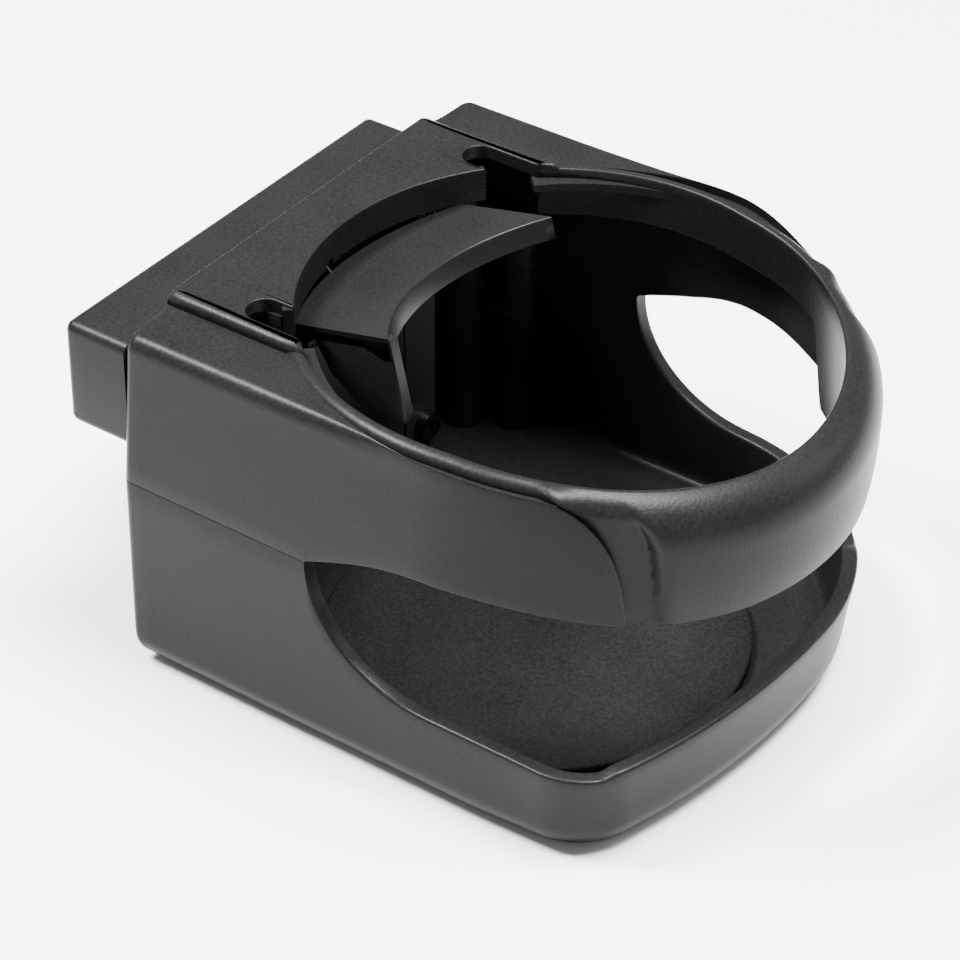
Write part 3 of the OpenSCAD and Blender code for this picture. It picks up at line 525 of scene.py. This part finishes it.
def channel_floor(sign):
    """The sunken floor between the lip and the shoulder: a flat closed strip that follows the lip's edge."""
    phi = np.linspace(math.radians(46), math.radians(-29), 90)
    z = lip_height(36 * np.sin(phi)) - 1.5 - (1.5 if sign > 0 else 0.0) * smooth(0, -28, np.degrees(phi))
    outer = groove_radius(np.degrees(phi), 2.3 if sign > 0 else 0.7) + 0.04
    rows = []
    inner = np.full(len(phi), CHANNEL_R)
    for r, dz in ((inner, -1.2), (inner, 0.0), (outer, 0.0), (outer, -1.2), (inner, -1.2)):
        rows.append(np.column_stack([sign * r * np.cos(phi), r * np.sin(phi), z + dz]))
    grid = np.stack(rows)
    mid = grid[:4].mean(axis=0)
    ends = [np.tile(mid[e][None, None], (5, 1, 1)) for e in (0, -1)]
    return np.concatenate([ends[0], grid, ends[1]], axis=1)


piece("opening_lip_and_band", [lip_grid()], "holder", ABS, ["top_cover"])
piece("lip_channel_floor", [channel_floor(1), channel_floor(-1)], "holder", ABS, ())


# ---------------------------------------------------------------- deck
SLOT_C, SLOT_R = 25.1, 2.7   # place across and half width of the deck's two slots


def deck_front_half():
    """Front edge of the deck from the middle outwards: the arc, the slot's side, its round end, its other
    side, then the opening's edge out to the corner."""
    xs = np.linspace(0, SLOT_C - SLOT_R, 40)
    arc = np.column_stack([xs, BACK_Y + np.sqrt(BACK_R ** 2 - xs ** 2)])
    a = np.linspace(np.pi, 0, 22)
    end = np.column_stack([SLOT_C + SLOT_R * np.cos(a), HINGE[0] - 1.9 + SLOT_R * np.sin(a)])
    outer_x = SLOT_C + SLOT_R
    last_y = BACK_Y + math.sqrt(BACK_R ** 2 - (outer_x + 0.15) ** 2)
    tip = np.array([[outer_x, last_y + 1.0], [outer_x + 0.1, last_y + 0.2], [outer_x + 0.7, last_y - 0.6],
                    [DECK_X, last_y - 2.6]])
    return np.concatenate([arc, end, tip])


def inset_loop(p, d):
    """A closed loop moved inwards by d along its corner normals."""
    nxt, prv = np.roll(p, -1, 0), np.roll(p, 1, 0)
    e1, e2 = p - prv, nxt - p
    e1 /= np.maximum(np.linalg.norm(e1, axis=1), 1e-9)[:, None]
    e2 /= np.maximum(np.linalg.norm(e2, axis=1), 1e-9)[:, None]
    n1, n2 = np.column_stack([-e1[:, 1], e1[:, 0]]), np.column_stack([-e2[:, 1], e2[:, 0]])
    m = n1 + n2
    m /= np.maximum((m * m).sum(1) / 2, 0.35)[:, None]
    return p + m * d


def deck_grids():
    """The deck's skin, its rows and the number of points along its front: the outline rolls over at the top
    edge on a quarter circle, wide along the sides and crisp along the front."""
    half = deck_front_half()
    front = np.concatenate([half[::-1] * [-1, 1], half[1:]])   # left to right
    n = len(front)
    u = (front[:, 0] + DECK_X) / (2 * DECK_X)
    u = u + np.arange(n) * 1e-5
    u = (u - u[0]) / (u[-1] - u[0])
    rear = np.column_stack([-DECK_X + 2 * DECK_X * u, np.full(n, REAR_Y)])
    left = np.column_stack([np.full(9, -DECK_X), np.linspace(REAR_Y, front[0, 1], 11)[1:-1]])
    right = np.column_stack([np.full(9, DECK_X), np.linspace(front[-1, 1], REAR_Y, 11)[1:-1]])
    loop = np.concatenate([front, right, rear[::-1], left])
    broad = np.where(np.abs(loop[:, 0]) > DECK_X - 0.001, 1.0, 0.0)
    size_in = 0.25 + 1.25 * broad
    size_down = 0.25 + 1.0 * broad
    size_down[:n] = np.where(np.abs(front[:, 0]) > DECK_X - 0.001, 1.25, 0.25)
    rows = []
    base = DECK_Z - 2.2

    def ring(d, z):
        inner = inset_loop(loop, 1.0) - loop
        q = loop + inner * (d if np.ndim(d) == 0 else d[:, None])
        rows.append(np.column_stack([q, z + np.zeros(len(q))]))

    ring(0.3, base)
    ring(0.0, base + 0.15)
    for s in np.linspace(0, np.pi / 2, 7):
        ring(size_in * (1 - math.cos(s)), DECK_Z - size_down * (1 - math.sin(s)))
    ring(size_in + 0.25, DECK_Z)
    skin = np.stack(rows)
    return np.concatenate([skin, skin[:, :1]], axis=1), rows, n


def cap_from_loop(r, n, m=9):
    """Flat cap inside a loop of front, right, rear and left points, as lines from left to right."""
    front = r[:n]
    right = r[n:n + m]
    rear = r[n + m:n + m + n][::-1]
    left = r[n + m + n:][::-1]
    t = np.linspace(0, 1, m + 2)
    inner = front[None] * (1 - t)[:, None, None] + rear[None] * t[:, None, None]
    inner[1:-1, 0] = left
    inner[1:-1, -1] = right
    return inner


deck_skin, deck_rows, deck_n = deck_grids()
piece("deck_panel", [deck_skin, cap_from_loop(deck_rows[-1], deck_n), cap_from_loop(deck_rows[0], deck_n)],
      "holder", ABS, ())

SKIRT_Z = 51.5       # the skirt's underside
NOTCH_Z = 52.5       # the skirt's underside over the flap spring's leg


def skirt_grid():
    """The wall under the deck's concave edge: a thin arc strip with its ends closed and a notch in its
    underside for the spring's leg."""
    x_end = SLOT_C - SLOT_R
    x = np.concatenate([np.linspace(-x_end, -5.95, 25), np.linspace(-5.9, -4.1, 4),
                        np.linspace(-4.05, x_end, 41)])
    a = np.arccos(x / BACK_R)
    low = np.where(np.abs(x + 5) < 0.92, NOTCH_Z, SKIRT_Z)
    rows = []
    back = BACK_R + 1.6
    for r, z in ((BACK_R, low), (BACK_R, 56.3), (back, 56.3), (back, low), (BACK_R, low)):
        rows.append(np.column_stack([r * np.cos(a), BACK_Y + r * np.sin(a), z + np.zeros(len(x))]))
    grid = np.stack(rows)
    mid = grid[:4].mean(axis=0)
    start = np.tile(mid[0][None, None], (5, 1, 1))
    end = np.tile(mid[-1][None, None], (5, 1, 1))
    return np.concatenate([start, grid, end], axis=1)


piece("deck_skirt", [skirt_grid()], "holder", ABS, ())
grooves = [slab(*sorted((s * 29.5, s * 30.7)), 26.5, 49.1, 53.4, 54.7, 0.1, 1) for s in (-1, 1)]
piece("deck_groove_floors", grooves, "holder", ABS, ())
posts = [lathe([(0, 48.96), (2.6, 48.96), (2.6, 54.6), (0, 54.6)], (s * 25, 43.8), 40) for s in (-1, 1)]
piece("deck_posts", posts, "holder", ABS, ())


def web(points, x0, x1, ease=0.2):
    """A flat web: a convex outline in y and z, carried across x and drawn in a little at both faces."""
    ring = np.array(points + points[:1], float)
    mid = ring[:-1].mean(axis=0)
    rows = []
    for x, d in ((x0, None), (x0, ease), (x0 + ease, 0), (x1 - ease, 0), (x1, ease), (x1, None)):
        out = ring - mid
        p = mid + (out * 0 if d is None else out * (1 - d / np.linalg.norm(out, axis=1).max()))
        rows.append(np.column_stack([np.full(len(p), x), p]))
    return np.stack(rows)


# Screw bosses and their brackets inside the shells, the same on both sides
BOSSES = ((32.0, 44.0), (36.2, 37.2))
BOSS_R = 3.4
LOW_BOSS = [(0, FLOOR - 0.5), (BOSS_R, FLOOR - 0.5), (BOSS_R, PARTING - 0.06), (0, PARTING - 0.06)]
HIGH_BOSS = [(0, PARTING + 0.06), (BOSS_R, PARTING + 0.06), (BOSS_R, 39.6), (3.0, 40), (0, 40)]
WEB = [[36.2, 26.0], [48.0, 26.0], [48.0, 8.0], [40.4, 16.0]]
low_bosses = [lathe(LOW_BOSS, (s * x, y), 32) for s in (-1, 1) for x, y in BOSSES]
high_bosses = [lathe(HIGH_BOSS, (s * x, y), 32) for s in (-1, 1) for x, y in BOSSES]
shelves = [slab(*sorted((s * 32, s * 40.6)), 36.2, 48.2, 24.4, 26.0, 0.2, 2) for s in (-1, 1)]
webs = [web(WEB, *sorted((s * 37.6, s * 40.6))) for s in (-1, 1)]
piece("tray_bosses_and_brackets", low_bosses + shelves + webs, "holder", ABS, ())
piece("upper_bosses", high_bosses, "holder", ABS, ())


def lug(x0):
    """A hinge lug: a round nose under the pin with straight sides up to the deck, as a profile across x."""
    a = np.linspace(np.pi, 2 * np.pi, 20)
    ys = np.concatenate([[HINGE[0] - 2.8], HINGE[0] + 2.8 * np.cos(a), [HINGE[0] + 2.8]])
    zs = np.concatenate([[54.6], HINGE[1] + 2.8 * np.sin(a), [54.6]])
    ring = np.column_stack([ys, zs])
    ring = np.concatenate([ring, ring[:1]])
    mid = ring[:-1].mean(axis=0)
    rows = []
    for x, s in ((x0, 0), (x0, 0.9), (x0 + 0.2, 1.0), (x0 + 2.8, 1.0), (x0 + 3.0, 0.9), (x0 + 3.0, 0)):
        p = mid + (ring - mid) * s
        rows.append(np.column_stack([np.full(len(p), x), p]))
    return np.stack(rows)


piece("hinge_lugs", [lug(20.1), lug(-23.1)], "holder", ABS, ())


# ---------------------------------------------------------------- clamp block
def block_grid():
    """The block behind the rear wall: a rounded rectangle in x and z, carried back along y, with its outer
    edges rolled off on a quarter circle."""
    x0, x1, y0, y1, z0, z1 = -39.3, 30.0, REAR_Y + 0.15, REAR_Y + 11.0, 36.0, 52.8
    roll = 1.3

    def ring(d, y):
        r = max(1.5 - d, 0.25)
        a = np.linspace(0, np.pi / 2, 7)
        cx = [x1 - d - r, x0 + d + r, x0 + d + r, x1 - d - r]
        cz = [z1 - d - r, z1 - d - r, z0 + d + r, z0 + d + r]
        turned = [a + k * np.pi / 2 for k in range(4)]
        pts = [np.column_stack([cx[k] + r * np.cos(turned[k]), np.full(7, y), cz[k] + r * np.sin(turned[k])])
               for k in range(4)]
        p = np.concatenate(pts)
        return np.concatenate([p, p[:1]])

    rows = [ring(0, y0)]
    rows += [ring(0, y) for y in np.linspace(y0, y1 - roll, 5)[1:]]
    rows += [ring(roll * (1 - math.cos(a)), y1 - roll * (1 - math.sin(a)))
             for a in np.linspace(0, np.pi / 2, 8)[1:]]
    rows.append(ring(roll + 0.2, y1))
    n = len(rows[0])
    ends = [np.tile([[(x0 + x1) / 2, y, (z0 + z1) / 2]], (n, 1)) for y in (y0, y1)]
    return np.stack([ends[0]] + rows + [ends[1]])


tongue = slab(-13, 13, REAR_Y + 1, REAR_Y + 19.6, 36.0, 39.6, 0.9)
piece("clamp_block_skin", [block_grid(), tongue], "holder", ABS, ["clamp_block"])

# ---------------------------------------------------------------- pad
PAD_R, PAD_C = 31.0, (-6.0, 3.0)
PAD_EDGE = [(0, 3.01), (PAD_R - 0.3, 3.01), (PAD_R, 3.2), (PAD_R, 4.1), (PAD_R - 0.12, 4.35),
            (PAD_R - 0.4, 4.5), (PAD_R * 0.6, 4.51), (0, 4.51)]
piece("cup_pad_disc", [lathe(PAD_EDGE, PAD_C, 128)], "holder", FOAM, ["cup_pad"])

# ---------------------------------------------------------------- flap
FLAP_HALF = 19.3     # half the plate's width
REACH = 13.1         # from the hinge forward to the middle of the plate's front edge
ARC_R = 30.0         # radius of that edge
PLATE_TOP = 4.7      # top of the plate over the hinge


def to_flap(p):
    """Points in the flap's own frame, hinge at the origin and plate level, turned to their tilt at rest."""
    c, s = math.cos(math.radians(TILT)), math.sin(math.radians(TILT))
    y, z = p[..., 1], p[..., 2]
    return np.stack([p[..., 0], HINGE[0] + y * c + z * s, HINGE[1] - y * s + z * c], -1)


def flap_grid():
    """The crescent plate with a lip turned down along its front edge: a closed section from the rear edge
    over the top to the front edge and back underneath, carried across x."""
    xs = FLAP_HALF * np.sin(np.linspace(-np.pi / 2, np.pi / 2, 81))
    y_rear = np.minimum(BACK_Y - HINGE[0] + np.sqrt((BACK_R - 0.7) ** 2 - xs ** 2), 3.0)
    y_front = -REACH - ARC_R + np.sqrt(ARC_R ** 2 - xs ** 2)
    n = len(xs)
    top, under, lip_low = PLATE_TOP, PLATE_TOP - 2.0, PLATE_TOP - 3.6
    rows = []

    def row(y, z):
        rows.append(np.column_stack([xs, y + np.zeros(n), z + np.zeros(n)]))

    e = 0.35
    for s in np.linspace(0, np.pi / 2, 4):
        row(y_rear - e * (1 - math.cos(s)), top - e * (1 - math.sin(s)))
    for s in np.linspace(0, 1, 7)[1:-1]:
        row(y_rear - e + (y_front + e - y_rear + e) * s, top)
    for s in np.linspace(0, np.pi / 2, 5):
        row(y_front + e * (1 - math.sin(s)), top - e * (1 - math.cos(s)))
    row(y_front, lip_low + 0.2)
    row(y_front + 0.2, lip_low)
    row(y_front + 1.6, lip_low)
    row(y_front + 1.8, lip_low + 0.2)
    row(y_front + 1.8, under)
    row(y_rear, under)
    rows.append(rows[0])
    grid = np.stack(rows)
    mid = grid.mean(axis=0)
    start = np.tile(mid[0][None, None], (len(rows), 1, 1))
    end = np.tile(mid[-1][None, None], (len(rows), 1, 1))
    return to_flap(np.concatenate([start, grid, end], axis=1))


def cheek_grid(sign):
    """A cheek at one end of the plate: a side profile, carried across its thickness with eased edges."""
    tip = -REACH - ARC_R + math.sqrt(ARC_R ** 2 - FLAP_HALF ** 2)
    low = PLATE_TOP - 14
    top = PLATE_TOP - 0.4
    ring = np.array([[tip, top], [tip, low + 2], [tip + 0.6, low + 0.6], [tip + 2, low], [tip + 6, low],
                     [-8, PLATE_TOP - 7], [-6, PLATE_TOP - 1.0], [-6, top], [tip, top]])
    mid = ring[:-1].mean(axis=0)
    rows = []
    for x, s in ((17.3, 0), (17.3, 0.94), (17.5, 1.0), (19.1, 1.0), (19.3, 0.95), (19.3, 0)):
        p = mid + (ring - mid) * s
        rows.append(np.column_stack([np.full(len(p), sign * x), p]))
    return to_flap(np.stack(rows))


def ear_grid(x0):
    """An ear round the hinge pin: a circle drawn up to the plate, carried across its width."""
    a = np.linspace(np.pi * 1.0, np.pi * 2.0, 20)
    ys = np.concatenate([[-9.0, -2.4], 2.4 * np.cos(a)[1:], [1.0]])
    zs = np.concatenate([[3.6, 0.0], 2.4 * np.sin(a)[1:], [3.6]])
    ring = np.column_stack([ys, zs])
    ring = np.concatenate([ring, ring[:1]])
    mid = ring[:-1].mean(axis=0)
    rows = []
    for x, s in ((x0, 0), (x0, 0.93), (x0 + 0.2, 1.0), (x0 + 3.8, 1.0), (x0 + 4.0, 0.93), (x0 + 4.0, 0)):
        p = mid + (ring - mid) * s
        rows.append(np.column_stack([np.full(len(p), x), p]))
    return to_flap(np.stack(rows))


piece("flap_crescent", [flap_grid(), cheek_grid(-1), ear_grid(12.5), ear_grid(-16.5)],
      "flap", FLAP, ["retainer_flap"])

# ---------------------------------------------------------------- CAD nodes that keep their own shape
for names, material, slot_name in (
        (("upper_jaw_pad", "edge_pads", "lower_jaw_pad"), RUBBER, "grip_rubber"),
        (("jaw_channel",), INNER, "inner_plastic"),
        (("lower_jaw",), FLAP, "flap"),
        (("hinge_pin", "hinge_clips", "spring_anchors", "shell_screws", "cover_screws", "block_screws",
          "channel_screws"), STEEL, "steel"),
        (("flap_spring", "jaw_spring_left", "jaw_spring_right"), WIRE, "spring_steel")):
    for name in names:
        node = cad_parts[name]
        node.data.materials.clear()
        node.data.materials.append(material)


# ---------------------------------------------------------------- camera, light and floor
def pale_floor():
    """A wide level sheet under the part, curved up far behind it so that no horizon shows."""
    u = np.linspace(-1, 1, 41)
    v = np.linspace(0, 1, 61)
    length = v * 4200 - 900
    z = np.where(length > 2000, 900 * (1 - np.cos(np.clip((length - 2000) / 1300, 0, np.pi / 2))), 0.0)
    y = np.where(length > 2000, 2000 + 900 * np.sin(np.clip((length - 2000) / 1300, 0, np.pi / 2)), length)
    across, away = np.array([0.582, -0.813]), np.array([0.813, 0.582])      # in plan, seen from the camera
    xy = u[None, :, None] * 3000 * across + y[:, None, None] * away
    g = np.concatenate([xy, np.broadcast_to(z[:, None, None], (61, 41, 1))], -1)
    mesh = bpy.data.meshes.new("pale_floor")
    mesh.from_pydata((g.reshape(-1, 3) * MM).tolist(), [], grid_faces(61, 41).tolist())
    mesh.polygons.foreach_set("use_smooth", np.ones(len(mesh.polygons), bool))
    obj = bpy.data.objects.new("pale_floor", mesh)
    bpy.context.scene.collection.objects.link(obj)
    m = bpy.data.materials.new("pale_floor")
    m.use_nodes = True
    s = m.node_tree.nodes["Principled BSDF"]
    s.inputs["Base Color"].default_value = (0.60, 0.60, 0.61, 1)
    s.inputs["Roughness"].default_value = 0.75
    s.inputs["Specular IOR Level"].default_value = 0.2
    mesh.materials.append(m)


pale_floor()


def area_light(name, place, target, size, power, size_y=None):
    """A soft panel at a place in metres, facing a target."""
    data = bpy.data.lights.new(name, "AREA")
    data.energy = power
    data.shape = "RECTANGLE" if size_y else "SQUARE"
    data.size = size
    if size_y:
        data.size_y = size_y
    obj = bpy.data.objects.new(name, data)
    obj.location = place
    obj.rotation_mode = "QUATERNION"
    obj.rotation_quaternion = (Vector(place) - Vector(target)).to_track_quat("Z", "Y")
    bpy.context.scene.collection.objects.link(obj)
    return obj


area_light("shoulder_panel", (-0.25, 0.47, 0.87), (0, 0, 0.05), 0.30, 60.0)
area_light("band_panel", (0.12, -0.20, 0.95), (0, 0, 0.05), 0.40, 72.0)
area_light("front_panel", (-0.75, -0.70, 0.60), (0, 0, 0.03), 0.7, 1.5)
area_light("right_panel", (0.60, -0.55, 0.45), (0, 0, 0.03), 0.35, 2.5)

world = bpy.data.worlds.new("studio")
bpy.context.scene.world = world
world.use_nodes = True
world.node_tree.nodes["Background"].inputs["Color"].default_value = (1, 1, 1, 1)
world.node_tree.nodes["Background"].inputs["Strength"].default_value = 0.45

camera = bpy.data.cameras.new("camera")
camera.sensor_width = 36.0
camera.lens = 3651.7 / 960 * 36.0
camera.clip_end = 20.0
eye = bpy.data.objects.new("camera", camera)
back = Vector((-0.655, -0.469, 0.592)).normalized()
eye.location = Vector((-0.3448, -0.2293, 0.3326))
turn = back.to_track_quat("Z", "Y")
eye.rotation_mode = "QUATERNION"
eye.rotation_quaternion = turn @ Quaternion((0, 0, 1), 0.007)
bpy.context.scene.collection.objects.link(eye)
bpy.context.scene.camera = eye
